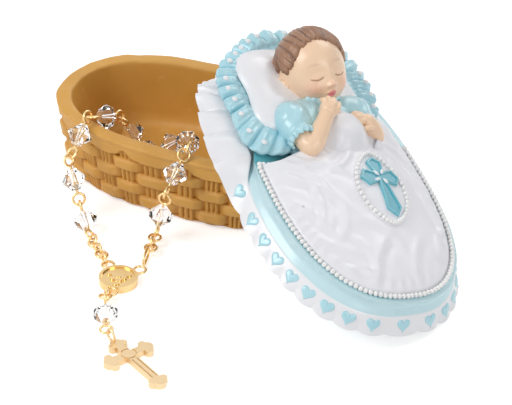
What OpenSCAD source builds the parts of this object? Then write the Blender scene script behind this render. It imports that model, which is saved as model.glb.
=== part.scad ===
// Rosary box: an oval cast-resin basket with a fitted lid that carries a sleeping baby under a quilt,
// and the one-decade rosary that the box is made to hold.
// The lid stands open against the basket and the rosary hangs over the front of the rim.
// Origin: centre of the flat underside of the basket, X along the basket, Z up.

/* [Basket] */
// half length of the rim
basket_a = 38.5; // [30:0.5:60]
// half width of the rim
basket_b = 22; // [15:0.5:35]
// height of the rim
basket_h = 19.5; // [12:0.5:35]
// thickness of the wall at the rim
wall = 3.4; // [2:0.1:6]
// thickness of the floor
floor_t = 2.2; // [1.5:0.1:5]
// size of the foot of the basket against the rim
foot_scale = 0.92; // [0.8:0.01:1]
// number of stake groups round the basket, an even number
stake_groups = 30; // [12:2:36]
// how far the woven strips stand out and in
weave_depth = 0.7; // [0.2:0.1:1.2]

/* [Lid] */
// half length of the blue band
lid_a = 40.5; // [31:0.5:62]
// half width of the blue band
lid_b = 24.2; // [16:0.1:37]
// how much broader the foot end is than the head end
lid_egg = 0.1; // [0:0.01:0.2]
// height of the blue band
band_h = 4.2; // [3:0.1:8]
// how far the frill hangs below the seat
frill_drop = 4; // [2.5:0.1:6]
// how far the frill flares outward
frill_flare = 3; // [1:0.1:5]
// number of scallops round the frill
scallops = 36; // [20:1:48]
// how much further the loose ruffle beside the pillow stands out
ruffle_reach = 5; // [0:0.5:6]
// height of the padded quilt above the band
quilt_rise = 5.6; // [3:0.1:9]

/* [Rosary] */
// radius of the wire
wire_r = 0.32; // [0.2:0.01:0.5]
// radius of a loop to the middle of its wire
loop_r = 1.47; // [1:0.01:2.5]
// centre distance of two linked loops
link_step = 2; // [1.5:0.05:2.4]
// width of a bead across its flats
bead_w = 5.7; // [4:0.1:8]
// length of a bead along its bore
bead_l = 5.6; // [4:0.1:8]
// radius of the bore of a bead
bore_r = 0.37; // [0.3:0.01:0.6]

/* [Hidden] */
pin_r = 0.3;
power = 2.4;
lid_at = [41.9, -19.3, 18.1];
lid_turn = -40;
lid_tilt = 20;
lid_roll = -17;
cols = 150;
frill_cols = 180;
head_at = [-25, 1.5, 14.3];
head_size = [10, 8.3, 8.4];
// end loops of the ten eye pins, from the left end of the chain to the right end
route = [
    [-11.5, -40, 2],
    [-19.5, -30.5, 4],
    [-23.5, -28.5, 15.5],
    [-23.5, -18, 22],
    [-20, -7.5, 17],
    [-16.5, -2.5, 6.5],
    [-9.5, -12, 10.5],
    [0, -9.5, 18],
    [5, -20, 22],
    [4, -30, 14.5],
    [1.5, -30.5, 2.5]
];
medal_at = [1, -50.7, 0];
medal_r = 4.8;
medal_t = 1.8;
lug_out = 6.1;
lug_z = 1.3;
pend_start = [3.3, -62.3, 3.2];
pend_end = [9, -73, 2.9];
crucifix_loop_z = 2.4;
cross_turn = -29.8;

// outlines: rounded ovals between an ellipse and a rectangle
function sgn(v) = v < 0 ? -1 : 1;
function oval_x(t, a) = sgn(cos(t)) * pow(abs(cos(t)), 2 / power) * a;
function oval_y(t, b) = sgn(sin(t)) * pow(abs(sin(t)), 2 / power) * b;
// even steps along the outline
function even_t(p) = let (t1 = p + 7 * sin(2 * p), t2 = p + 7 * sin(2 * t1)) p + 7 * sin(2 * t2);
function basket_pt(t, g, s, z) = [oval_x(t, basket_a + g) * s, oval_y(t, basket_b + g) * s, z];
function lid_pt(t, g, z) =
    let (x = oval_x(t, lid_a + g))
    [x, oval_y(t, lid_b + g) * (1 + lid_egg * x / lid_a), z];

// skins stacked ring by ring, each ring counterclockwise from above
function side_faces(n, i, k) = [
    for (j = [0 : n - 1]) each [
        [i * n + j, k * n + j, k * n + (j + 1) % n],
        [i * n + j, k * n + (j + 1) % n, i * n + (j + 1) % n]
    ]
];
module stack(rings, low, high) {
    n = len(rings[0]);
    m = len(rings);
    polyhedron(
        points = concat([for (r = rings) each r], [low, high]),
        faces = concat(
            [for (i = [0 : m - 2]) each side_faces(n, i, i + 1)],
            [for (j = [0 : n - 1]) [m * n, j, (j + 1) % n]],
            [for (j = [0 : n - 1]) [m * n + 1, (m - 1) * n + (j + 1) % n, (m - 1) * n + j]]
        ),
        convexity = 8
    );
}
module hoop(rings) {
    n = len(rings[0]);
    m = len(rings);
    polyhedron(
        points = [for (r = rings) each r],
        faces = [for (i = [0 : m - 1]) each side_faces(n, i, (i + 1) % m)],
        convexity = 8
    );
}
module blob(c, s, n, m) {
    stack(
        [for (i = [1 : m - 1]) let (v = -90 + 180 * i / m) [
            for (j = [0 : n - 1]) let (t = 360 * j / n)
            [c[0] + s[0] * cos(v) * cos(t), c[1] + s[1] * cos(v) * sin(t), c[2] + s[2] * sin(v)]
        ]],
        [c[0], c[1], c[2] - s[2]],
        [c[0], c[1], c[2] + s[2]]
    );
}

// woven basket
function strip_row(z) = (z - 1) / 3.4;
function weave(p, z) =
    let (
        r = strip_row(z),
        i = floor(r),
        across = sin(180 * (r - i)),
        along = 0.25 + cos(180 * (p * stake_groups / 360 + i))
    )
    z < 1 || z > 18 ? 0 : weave_depth * along * pow(max(0, across), 0.7) - 0.25 * (1 - across);
function wall_scale(z) = foot_scale + (1 - foot_scale) * pow(z / basket_h, 0.8);
function outer_ring(z, g) = [
    for (j = [0 : cols - 1]) let (p = 360 * j / cols)
    basket_pt(even_t(p), g + weave(p, z), wall_scale(z), z)
];
function plain_ring(z, g, s) = [
    for (j = [0 : cols - 1]) basket_pt(even_t(360 * j / cols), g, s, z)
];
module basket() {
    color([0.78, 0.58, 0.3])
    stack(
        concat(
            [plain_ring(0, -1.2, wall_scale(0)), plain_ring(0.5, -0.4, wall_scale(0))],
            [for (i = [0 : 4]) for (v = [0.02, 0.2, 0.5, 0.8]) outer_ring(1 + 3.4 * (i + v), -0.2)],
            [
                plain_ring(18.1, 0, 1),
                plain_ring(19, -0.5, 1),
                plain_ring(19.5, -1.4, 1),
                plain_ring(19.3, -2.6, 1),
                plain_ring(18.4, 0 - wall, 1),
                plain_ring(12, 0 - wall - 0.3, wall_scale(12)),
                plain_ring(6, 0 - wall - 0.8, wall_scale(6)),
                plain_ring(3.2, 0 - wall - 2, wall_scale(2)),
                plain_ring(floor_t, 0 - wall - 4, wall_scale(2))
            ]
        ),
        [0, 0, 0],
        [0, 0, floor_t]
    );
}

// lid
module lid_place() {
    translate(lid_at)
    rotate([0, 0, lid_turn])
    rotate([0, lid_tilt, 0])
    rotate([lid_roll, 0, 0])
    translate([0, 0, frill_drop])
    children();
}
module lid_base() {
    color([0.72, 0.86, 0.9])
    lid_place()
    linear_extrude(height = band_h)
    polygon([for (j = [0 : 71]) let (q = lid_pt(even_t(5 * j), 0, 0)) [q[0], q[1]]]);
}
// beside the pillow the frill rises over the band as a wide loose ruffle
function ramp(v) = let (q = min(1, max(0, v))) q * q * (3 - 2 * q);
function ruffle(t) = ramp((t - 212) / 30) * ramp((271 - t) / 9);
function pleat(p, w) = (1 - w) * cos(p * scallops) + 2 * w * cos(p * 40);
function frill_ring(g, z, wave, lift) = [
    for (j = [0 : frill_cols - 1])
    let (p = 360 * j / frill_cols, t = even_t(p), w = ruffle(t), out = max(0, g - 1.2) / (frill_flare - 1.2))
    lid_pt(t, g + ruffle_reach * w * out + wave * pleat(p, w), z + lift * w + wave * 0.5 * pleat(p, w))
];
function seat_ring(g, z) = [
    for (j = [0 : frill_cols - 1])
    let (t = even_t(360 * j / frill_cols))
    [oval_x(t, basket_a + g), oval_y(t, basket_b + g), z]
];
module lid_frill() {
    color([0.94, 0.94, 0.95])
    lid_place()
    hoop([
        seat_ring(0.7, -0.02),
        seat_ring(0.7, -1.2),
        frill_ring(1.2, 0.3 - frill_drop, 0, 0.8),
        frill_ring(frill_flare - 0.3, 0.35 - frill_drop, 0.25, 3.2),
        frill_ring(frill_flare, 0.6 - frill_drop, 0.3, 3.3),
        frill_ring(2, -1.5, 0.2, 3.3),
        frill_ring(1.2, 0.3, 0.05, 3.5),
        frill_ring(0.5, 0.8, 0, 3.3),
        frill_ring(0.03, 0.7, 0, 3.3),
        frill_ring(0.03, -0.02, 0, 0)
    ]);
}
module heart_plate() {
    linear_extrude(height = 0.3)
    union() {
        translate([0, 0.62]) circle(r = 0.72, $fn = 24);
        translate([0, -0.62]) circle(r = 0.72, $fn = 24);
        polygon([[0.35, 1.25], [0.35, -1.25], [-1.7, 0]]);
    }
}
module frill_hearts() {
    color([0.68, 0.85, 0.89])
    lid_place()
    for (k = [0 : scallops - 1])
    if (k < 15 || k > 26)
    let (
        p = 360 * k / scallops,
        t = even_t(p),
        a = lid_pt(t - 1, 2, 0),
        b = lid_pt(t + 1, 2, 0),
        c = lid_pt(t, 2.62, -1.2),
        turn = atan2(b[1] - a[1], b[0] - a[0]) - 90
    )
    translate(c)
    rotate([0, 0, turn])
    rotate([0, 59.3, 0])
    rotate([0, 0, 180])
    mirror([1, 0, 0])
    heart_plate();
}
module pearl_trim() {
    color([0.96, 0.95, 0.93])
    lid_place()
    for (k = [0 : 119])
    translate(lid_pt(even_t(3 * k), -1.1, band_h + 0.72))
    if (k < 33 || k > 90)
    sphere(r = 0.7, $fn = 20);
}

// quilt: domed, with the body under it and soft creases
function quilt_top(x, y) =
    let (
        s = y / (1 + lid_egg * x / lid_a),
        r = pow(pow(abs(x / (lid_a - 2)), power) + pow(abs(s / (lid_b - 2)), power), 1 / power),
        q = min(1, r),
        b = exp(0 - pow((x - 2) / 20, 2) - pow((y - 1) / 11, 2))
    )
    band_h + 0.5 + quilt_rise * pow(1 - pow(q, 2.6), 0.7) * (0.75 + 0.3 * b)
        + 0.22 * sin(9 * x + 16 * y) * (1 - q) + 0.18 * cos(24 * y - 7 * x) * q * (1 - q) * 4;
function quilt_ring(f) = [
    for (j = [0 : 71])
    let (q = lid_pt(even_t(5 * j), -2, 0), x = q[0] * f, y = q[1] * f)
    [x, y, quilt_top(x, y)]
];
module quilt() {
    color([0.93, 0.93, 0.95])
    lid_place()
    difference() {
        union() {
            difference() {
                stack(
                    concat(
                        [[for (j = [0 : 71]) lid_pt(even_t(5 * j), -2, band_h + 0.01)]],
                        [for (f = [1, 0.97, 0.92, 0.84, 0.72, 0.58, 0.42, 0.26, 0.12]) quilt_ring(f)]
                    ),
                    [0, 0, band_h + 0.01],
                    [0, 0, quilt_top(0, 0)]
                );
                linear_extrude(height = 40) pillow_outline(1.27);
            }
            difference() {
                chest_cover(0);
                translate([-60, -60, -1]) cube([120, 120, 8.45]);
            }
        }
        badge_shape(7, 0.02);
        arm_shape(0.06);
        hand_shape(0.06);
    }
}
// the part of the quilt that is drawn up over the chest to the hands
module chest_cover(grow) {
    blob([-8, 2.8, 8], [7 + grow, 7 + grow, 5.6 + grow], 28, 14);
}
module cross_pearls() {
    color([0.96, 0.95, 0.93])
    lid_place()
    for (k = [0 : 35])
    let (
        t = 10 * k,
        x = 9 + 10.6 * cos(t),
        y = 6 + 8.2 * sin(t) * (1 - 0.25 * pow(abs(cos(t)), 3))
    )
    translate([x, y, quilt_top(x, y) + 0.8])
    sphere(r = 0.65, $fn = 20);
}
module badge_shape(z, grow) {
    translate([6, 6.3, z])
    linear_extrude(height = 14 - z)
    polygon([
        [1.1 + grow, -1.1 - grow], [8.6, -1.7 - grow], [10.9 + grow, -1.9 - grow], [12.2 + grow, 0],
        [10.9 + grow, 1.9 + grow], [8.6, 1.7 + grow], [1.1 + grow, 1.1 + grow],
        [1.8 + grow, 3.1], [0, 4.7 + grow], [-1.8 - grow, 3.1], [-1.1 - grow, 1.1 + grow],
        [-3.4, 1.9 + grow], [-5.2 - grow, 0], [-3.4, -1.9 - grow], [-1.1 - grow, -1.1 - grow],
        [-1.8 - grow, -3.1], [0, -4.7 - grow], [1.8 + grow, -3.1]
    ]);
}
module cross_badge() {
    color([0.45, 0.74, 0.8])
    lid_place()
    difference() {
        badge_shape(7.02, 0);
        translate([9, 6.3, 0])
        rotate([0, 4, 0])
        translate([-20, -20, quilt_top(8, 6.3) + 0.55])
        cube([40, 40, 12]);
        for (s = [-1, 1]) {
            translate([4.3, 6.3 + s * 1.3, 9]) cylinder(h = 6, r = 0.3, $fn = 20);
            translate([7.7, 6.3 + s * 1.3, 9]) cylinder(h = 6, r = 0.3, $fn = 20);
        }
    }
}

// pillow with its frill
// the frill has a long corner beside the elbow
function corner(t, at, width) = exp(0 - pow((t - at) / width, 2));
function reach(t) = 6.3 * corner(t, 312, 18.5) - 2.2 * corner(t, 219, 30) + 2 * corner(t, 122, 15);
function pillow_pt(t, fx, fy, z, k) = [
    -24.6 + (fx + k * reach(t)) * cos(t), -1.8 + (fy + k * reach(t)) * sin(t), z
];
module pillow_outline(grow) {
    polygon([for (j = [0 : 71]) let (q = pillow_pt(5 * j, 19.8 + grow, 22 + grow, 0, 1)) [q[0], q[1]]]);
}
function pf_ring(fx, fy, z, wave, k) = [
    for (j = [0 : 95]) let (t = 3.75 * j, w = cos(t * 16))
    pillow_pt(t, fx + wave * w, fy + wave * w, z + 0.5 * wave * w, k)
];
module pillow_frill() {
    color([0.7, 0.85, 0.89])
    lid_place()
    difference() {
        stack(
            [
                pf_ring(14.5, 17, band_h + 0.02, 0, 0),
                pf_ring(15, 17.6, 4.9, 0, 0.2),
                pf_ring(19, 21.2, 5.6, 0.3, 1),
                pf_ring(19.8, 22, 6.3, 0.6, 1),
                pf_ring(19.6, 21.8, 7, 0.6, 1),
                pf_ring(17.5, 19.6, 7.15, 0.3, 0.8),
                pf_ring(16.2, 18.6, 7.3, 0, 0.5)
            ],
            [-24, -2, band_h + 0.02],
            [-24, -2, 7.3]
        );
        for (k = [0 : 17])
        translate(pillow_pt(20 * k + 5, 17.8, 20, 6.95, 0.8))
        cylinder(h = 3, r = 0.62, $fn = 20);
    }
}
module pillow_dots() {
    color([0.95, 0.95, 0.96])
    lid_place()
    for (k = [0 : 17])
    if (k > 2 && k < 16)
    translate(pillow_pt(20 * k + 5, 17.8, 20, 6.97, 0.8))
    cylinder(h = 0.55, r = 0.6, $fn = 20);
}
module pillow() {
    color([0.95, 0.95, 0.96])
    lid_place()
    difference() {
        stack(
            [
                for (v = [
                    [0.9, 7.33], [1, 7.8], [1.02, 8.4], [0.97, 9.3],
                    [0.86, 10.1], [0.66, 10.8], [0.4, 11]
                ])
                [for (j = [0 : 47])
                    let (t = 7.5 * j, c = v[0] * (1 - 0.09 * cos(4 * t)))
                    pillow_pt(t, 14 * c, 17 * c, v[1] + (v[1] > 8 ? 0.15 * sin(5 * t) : 0), 0)
                ]
            ],
            [-24, -2, 7.33],
            [-24, -2, 10.9]
        );
        chest_cover(0.1);
        blob(head_at, head_size + [0.85, 0.85, 0.85], 28, 14);
        blob([-10, -3.5, 9], [8.6, 11.6, 5], 28, 14);
        blob([-10.2, -10.6, 10.4], [5.5, 5.3, 4.5], 24, 12);
        hand_shape(0.3);
    }
}

// baby
module shirt() {
    color([0.7, 0.86, 0.9])
    lid_place()
    difference() {
        union() {
            blob([-10, -3.5, 9], [8.5, 11.5, 4.9], 28, 14);
            blob([-10.2, -10.6, 10.4], [5.4, 5.2, 4.4], 24, 12);
        }
        translate([-60, -60, 0]) cube([120, 120, 7.35]);
        linear_extrude(height = 60)
        difference() {
            translate([-30, -60]) square([90, 120]);
            pillow_outline(1);
        }
        head_shape(0.05);
        chest_cover(0.05);
        arm_shape(0.05);
        hand_shape(0.05);
    }
}
module head_shape(grow) {
    blob(head_at, head_size + [grow, grow, grow], 32, 18);
}
module baby_head() {
    color([0.95, 0.78, 0.66])
    lid_place()
    difference() {
        union() {
            head_shape(0);
            translate(head_at + [4.9, -0.6, 8.05]) sphere(r = 1, $fn = 20);
            translate(head_at + [4.2, -8.1, 0.6]) sphere(r = 1.3, $fn = 20);
        }
        translate([-60, -60, -1]) cube([120, 120, 8.4]);
    }
}
module baby_hair() {
    color([0.5, 0.33, 0.22])
    lid_place()
    difference() {
        head_shape(0.75);
        head_shape(0.03);
        translate([-60, -60, -1]) cube([120, 120, 8.4]);
        translate(head_at + [-3.2, -2, 4.5])
        rotate([0, -24, 8])
        translate([0, -20, -20])
        cube([30, 40, 40]);
        translate(head_at + [4.2, -8.1, 0.6]) sphere(r = 1.4, $fn = 20);
    }
}
module limb(a, ra, b, rb) {
    hull() {
        translate(a) sphere(r = ra, $fn = 20);
        translate(b) sphere(r = rb, $fn = 20);
    }
}
module arm_shape(grow) {
    limb([-6.5, -10.2, 10.4], 2.3 + grow, [-3.6, -8.6, 10.9], 2.2 + grow);
    limb([-3.6, -8.6, 10.9], 2.2 + grow, [-9.8, -3.6, 16.2], 1.7 + grow);
    limb([-9.8, -3.6, 16.2], 1.8 + grow, [-11.4, -2, 17], 2 + grow);
}
module right_arm() {
    color([0.95, 0.78, 0.66])
    lid_place()
    difference() {
        arm_shape(0);
        head_shape(0.05);
        translate([-30, -30, 0]) cube([60, 60, 7.5]);
    }
}
module hand_shape(grow) {
    limb([-11, 9.4, 9.9], 1.9 + grow, [-8.2, 12.2, 9.5], 1.8 + grow);
    limb([-9.2, 8.1, 10.9], 0.9 + grow, [-12.6, 9, 10.9], 0.9 + grow);
}
module left_arm() {
    color([0.95, 0.78, 0.66])
    lid_place()
    hand_shape(0);
}

// wire: a loop whose plane holds the direction d, rolled by r about it
function unit(v) = v / norm(v);
module along(p, d, r) {
    w = unit(d);
    translate(p)
    rotate([0, 0, atan2(w[1], w[0])])
    rotate([0, 0 - asin(w[2]), 0])
    rotate([r, 0, 0])
    children();
}
module loop() {
    rotate_extrude($fn = 48)
    translate([loop_r, 0])
    circle(r = wire_r, $fn = 20);
}
// the roll that lays a loop with direction d square to n
function roll_of(d, n) =
    let (
        w = unit(d),
        y = atan2(w[1], w[0]),
        p = 0 - asin(w[2]),
        e1 = [0 - sin(y), cos(y), 0],
        e2 = [sin(p) * cos(y), sin(p) * sin(y), cos(p)]
    )
    atan2(0 - n * e1, n * e2);
function bend(k) =
    k == 0 ? cross([-0.73, 0.68, 0], route[1] - route[0]) :
    k == 10 ? cross(route[10] - route[9], [0.1, -0.99, 0]) :
    cross(route[k] - route[k - 1], route[k + 1] - route[k]);
module eye_pin(k) {
    a = route[k - 1];
    b = route[k];
    w = unit(b - a);
    m = unit(bend(k - 1));
    color([0.83, 0.67, 0.36])
    union() {
        along(a + w * link_step, w, roll_of(w, cross(w, m))) loop();
        along(b, w, roll_of(w, unit(bend(k)))) loop();
        along(a + w * (link_step + loop_r - 0.1), w, 0)
        rotate([0, 90, 0])
        cylinder(h = norm(b - a) - link_step - 2 * loop_r + 0.2, r = pin_r, $fn = 32);
    }
}
module bead_profile() {
    linear_extrude(height = 12, center = true)
    polygon([
        [0 - bead_l / 2, 1], [-0.2, bead_w / 2], [0.2, bead_w / 2], [bead_l / 2, 1],
        [bead_l / 2, -1], [0.2, 0 - bead_w / 2], [-0.2, 0 - bead_w / 2], [0 - bead_l / 2, -1]
    ]);
}
module bead_body(grow) {
    scale(grow)
    difference() {
        intersection() {
            bead_profile();
            rotate([45, 0, 0]) bead_profile();
            rotate([90, 0, 0]) bead_profile();
            rotate([135, 0, 0]) bead_profile();
        }
        rotate([0, 90, 0])
        cylinder(h = 10, r = bore_r / grow, center = true, $fn = 32);
    }
}
module bead(k) {
    a = route[k - 1];
    b = route[k];
    w = unit(b - a);
    color([0.85, 0.9, 0.95, 0.5])
    along((a + b + w * link_step) / 2, w, 0)
    bead_body(1);
}

// short runs of small links at each end of the chain
left_run = [
    [[-9.95, -41.45, 1.85], 62],
    [[-8.4, -42.85, 1.8], -15],
    [[-6.85, -44.25, 1.8], 82],
    [[-5.3, -45.7, 1.8], 0]
];
module left_links() {
    d = [0.73, -0.68, 0];
    color([0.83, 0.67, 0.36]) {
        along(route[0], d, roll_of(d, unit(bend(0)))) loop();
        for (q = left_run)
        along(q[0], d, q[1] + 90) loop();
    }
}
right_run = [
    [[1.9, -32.5, 2.1], 90],
    [[2.35, -34.55, 1.9], 5],
    [[2.8, -36.6, 1.85], 90]
];
module right_links() {
    d = [0.22, -0.97, 0];
    color([0.83, 0.67, 0.36])
    for (q = right_run)
    along(q[0], d, q[1] + 90) loop();
}
module scroll_link() {
    color([0.83, 0.67, 0.36])
    translate([3.35, -40.2, 1.9])
    rotate([0, 0, -76])
    rotate([88, 0, 0])
    union() {
        for (s = [-1, 1])
        translate([s * 1.6, 0, 0])
        rotate([0, 0, s > 0 ? -90 : 90])
        rotate_extrude(angle = 180, $fn = 48)
        translate([loop_r, 0])
        circle(r = wire_r, $fn = 20);
        for (s = [-1, 1])
        translate([0, s * loop_r, 0])
        rotate([0, 90, 0])
        cylinder(h = 3.2, r = wire_r, center = true, $fn = 20);
    }
}
module medal_lug(t, z) {
    translate([lug_out * cos(t), lug_out * sin(t), z])
    rotate_extrude($fn = 48)
    translate([loop_r, 0])
    circle(r = wire_r, $fn = 20);
}
module medal() {
    color([0.83, 0.67, 0.36])
    translate(medal_at)
    union() {
        difference() {
            cylinder(h = medal_t, r = medal_r, $fn = 64);
            translate([0, 0, medal_t - 0.4]) cylinder(h = 2, r = medal_r - 0.7, $fn = 64);
        }
        medal_lug(141, lug_z);
        medal_lug(58, lug_z);
        medal_lug(-80, lug_z);
    }
}
module medal_rose() {
    color([0.86, 0.72, 0.42])
    translate(medal_at + [0, 0, medal_t - 0.39])
    rotate([0, 0, 10])
    union() {
        cylinder(h = 0.55, r = 0.75, $fn = 32);
        for (k = [0 : 4])
        rotate([0, 0, 72 * k])
        translate([1.25, 0, 0])
        cylinder(h = 0.4, r = 0.85, $fn = 32);
        for (k = [0 : 2])
        rotate([0, 0, 120 * k + 36])
        translate([2.6, 0, 0])
        cylinder(h = 0.3, r = 0.8, $fn = 32);
    }
}
pend_dir = unit(pend_end - pend_start);
module pendant_links() {
    color([0.83, 0.67, 0.36]) {
        along([2.2, -58.75, 1.85], [0.08, -1, 0], 90) loop();
        along([2.45, -60.6, 2.6], [0.35, -0.93, 0.33], 0) loop();
    }
}
module pendant_pin() {
    color([0.83, 0.67, 0.36])
    union() {
        along(pend_start, pend_dir, 90) loop();
        along(pend_end, pend_dir, 0) loop();
        along(pend_start + pend_dir * (loop_r - 0.1), pend_dir, 0)
        rotate([0, 90, 0])
        cylinder(h = norm(pend_end - pend_start) - 2 * loop_r + 0.2, r = pin_r, $fn = 32);
    }
}
module pendant_bead() {
    color([0.85, 0.9, 0.95, 0.5])
    along((pend_start + pend_end) / 2, pend_dir, 0)
    bead_body(1.03);
}
module crucifix() {
    color([0.83, 0.67, 0.36])
    translate([pend_end[0], pend_end[1], 0] + [0.87, -0.5, 0] * link_step)
    rotate([0, 0, cross_turn])
    union() {
        translate([0, 0, crucifix_loop_z]) rotate([90, 0, 0]) loop();
        difference() {
            linear_extrude(height = 1.5)
            union() {
                translate([1.1, -1.1]) square([19.4, 2.2]);
                translate([6.4, -5.4]) square([2.2, 10.8]);
                for (q = [
                    [2.4, 0, 1.6], [2.9, 1.5, 1], [2.9, -1.5, 1],
                    [20.5, 0, 1.6], [19.9, 1.5, 1], [19.9, -1.5, 1]
                ])
                translate([q[0], q[1]]) circle(r = q[2], $fn = 32);
                for (s = [-1, 1])
                for (q = [[7.5, 5.2, 1.6], [6, 4.8, 1], [9, 4.8, 1]])
                translate([q[0], s * q[1]]) circle(r = q[2], $fn = 32);
            }
            translate([10, -0.75, 1.2]) cube([8.6, 0.25, 1]);
            translate([10, 0.5, 1.2]) cube([8.6, 0.25, 1]);
            translate([7.5, 0, 1.2])
            difference() {
                cylinder(h = 1, r = 2, $fn = 32);
                translate([0, 0, -1]) cylinder(h = 3, r = 1.7, $fn = 32);
            }
        }
    }
}

basket();
lid_base();
lid_frill();
frill_hearts();
pearl_trim();
quilt();
cross_pearls();
cross_badge();
pillow_frill();
pillow_dots();
pillow();
shirt();
baby_head();
baby_hair();
right_arm();
left_arm();
eye_pin(1);  // eye_pin_01
eye_pin(2);  // eye_pin_02
eye_pin(3);  // eye_pin_03
eye_pin(4);  // eye_pin_04
eye_pin(5);  // eye_pin_05
eye_pin(6);  // eye_pin_06
eye_pin(7);  // eye_pin_07
eye_pin(8);  // eye_pin_08
eye_pin(9);  // eye_pin_09
eye_pin(10);  // eye_pin_10
bead(1);  // bead_01
bead(2);  // bead_02
bead(3);  // bead_03
bead(4);  // bead_04
bead(5);  // bead_05
bead(6);  // bead_06
bead(7);  // bead_07
bead(8);  // bead_08
bead(9);  // bead_09
bead(10);  // bead_10
left_links();
right_links();
scroll_link();
medal();
medal_rose();
pendant_links();
pendant_pin();
pendant_bead();
crucifix();
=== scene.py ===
# Rosary box: an oval cast-resin basket, its fitted lid with a sleeping baby under a quilt,
# and the crystal rosary that it holds, draped over the front of the rim.
import math

import bpy
from mathutils import Matrix, Vector, noise


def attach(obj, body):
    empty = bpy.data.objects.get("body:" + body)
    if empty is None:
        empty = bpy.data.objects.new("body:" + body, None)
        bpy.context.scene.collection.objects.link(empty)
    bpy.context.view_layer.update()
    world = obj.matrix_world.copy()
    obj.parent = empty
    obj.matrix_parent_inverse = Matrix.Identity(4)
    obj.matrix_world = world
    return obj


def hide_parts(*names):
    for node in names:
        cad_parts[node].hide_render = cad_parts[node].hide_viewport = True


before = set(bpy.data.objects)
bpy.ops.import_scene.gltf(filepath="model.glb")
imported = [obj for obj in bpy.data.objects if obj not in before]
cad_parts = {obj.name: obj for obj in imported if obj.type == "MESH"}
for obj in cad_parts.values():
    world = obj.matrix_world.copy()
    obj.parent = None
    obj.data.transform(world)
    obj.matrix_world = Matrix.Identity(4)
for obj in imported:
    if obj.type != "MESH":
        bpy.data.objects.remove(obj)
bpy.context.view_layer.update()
MM = 0.001

# Camera, as the photograph was taken: from the front right and above, with a
# long lens, so the oval of the basket keeps its proportions.
turn, rise, distance = math.radians(25), math.radians(34), 0.95
back = Vector((math.sin(turn) * math.cos(rise), -math.cos(turn) * math.cos(rise), math.sin(rise)))
right = Vector((math.cos(turn), math.sin(turn), 0))
up = back.cross(right)
eye = Vector((0.0225, -0.020, 0.010)) + back * distance
camera_data = bpy.data.cameras.new("camera")
camera_data.sensor_width = 36
camera_data.lens = 4.07 * 950 / 512 * 36
camera_data.shift_x = 4.0 / 512
camera_data.shift_y = 2.5 / 512
camera_data.clip_start = 0.05
camera = bpy.data.objects.new("camera", camera_data)
camera.matrix_world = Matrix((
    (right.x, up.x, back.x, eye.x),
    (right.y, up.y, back.y, eye.y),
    (right.z, up.z, back.z, eye.z),
    (0, 0, 0, 1)))
bpy.context.scene.collection.objects.link(camera)
bpy.context.scene.camera = camera
bpy.context.scene.view_settings.view_transform = "Standard"

# Studio: a white sweep under the box, a broad soft lamp from the upper left,
# weaker ones from the right and behind, and an even white surround.
def clear_selection():
    if bpy.context.mode != "OBJECT":
        bpy.ops.object.mode_set(mode="OBJECT")
    bpy.ops.object.select_all(action="DESELECT")


def studio_rays(nodes, links):
    ray = nodes.new("ShaderNodeLightPath")
    seen = nodes.new("ShaderNodeMath")
    seen.operation = "MAXIMUM"
    links.new(ray.outputs["Is Camera Ray"], seen.inputs[0])
    links.new(ray.outputs["Is Transmission Ray"], seen.inputs[1])
    glossy = nodes.new("ShaderNodeMath")
    glossy.operation = "MAXIMUM"
    links.new(seen.outputs[0], glossy.inputs[0])
    links.new(ray.outputs["Is Glossy Ray"], glossy.inputs[1])
    return glossy.outputs[0]


clear_selection()
bpy.ops.mesh.primitive_plane_add(size=6, location=(0, 0, -0.0002))
floor = bpy.context.object
floor.name = "floor"
floor_finish = bpy.data.materials.new("white_paper")
floor_finish.use_nodes = True
nodes, links = floor_finish.node_tree.nodes, floor_finish.node_tree.links
shade = nodes["Principled BSDF"]
shade.inputs["Base Color"].default_value = (0.90, 0.90, 0.90, 1)
shade.inputs["Roughness"].default_value = 0.9
shade.inputs["Specular IOR Level"].default_value = 0.1
shade.inputs["Emission Color"].default_value = (1, 1, 1, 1)
white_level = nodes.new("ShaderNodeMapRange")
white_level.inputs["To Min"].default_value = 0.0
white_level.inputs["To Max"].default_value = 0.50
links.new(studio_rays(nodes, links), white_level.inputs["Value"])
links.new(white_level.outputs[0], shade.inputs["Emission Strength"])
floor.data.materials.append(floor_finish)

world = bpy.data.worlds.new("studio")
bpy.context.scene.world = world
world.use_nodes = True
nodes, links = world.node_tree.nodes, world.node_tree.links
ground = nodes["Background"]
ground.inputs["Color"].default_value = (1, 1, 1, 1)
level = nodes.new("ShaderNodeMapRange")
level.inputs["To Min"].default_value = 0.38
level.inputs["To Max"].default_value = 1.0
links.new(studio_rays(nodes, links), level.inputs["Value"])
links.new(level.outputs[0], ground.inputs["Strength"])

for name, place, aim, size, power in (
        ("key_lamp", (-0.45, -0.55, 0.75), (0.01, -0.02, 0.01), 0.5, 4.9),
        ("side_lamp", (0.75, -0.35, 0.45), (0.02, -0.02, 0.02), 0.4, 1.7),
        ("rear_lamp", (0.1, 0.7, 0.6), (0.02, 0.0, 0.02), 0.5, 2.1)):
    lamp = bpy.data.lights.new(name, "AREA")
    lamp.size = size
    lamp.energy = power
    lamp_object = bpy.data.objects.new(name, lamp)
    lamp_object.location = place
    lamp_object.rotation_euler = (Vector(aim) - Vector(place)).to_track_quat("-Z", "Y").to_euler()
    bpy.context.scene.collection.objects.link(lamp_object)

# The basket: one casting in tan resin, woven outside and smooth inside. Flat
# strips pass over and under groups of three round stakes, and the rim is a
# thick band with a flat top.
def start_grid(name, across, along):
    clear_selection()
    bpy.ops.mesh.primitive_grid_add(x_subdivisions=across, y_subdivisions=along, size=2)
    piece = bpy.context.object
    piece.name = name
    piece.data.name = name
    return piece


def set_places(piece, rule):
    for vertex in piece.data.vertices:
        vertex.co = rule((vertex.co.x + 1) / 2, (vertex.co.y + 1) / 2)


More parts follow.
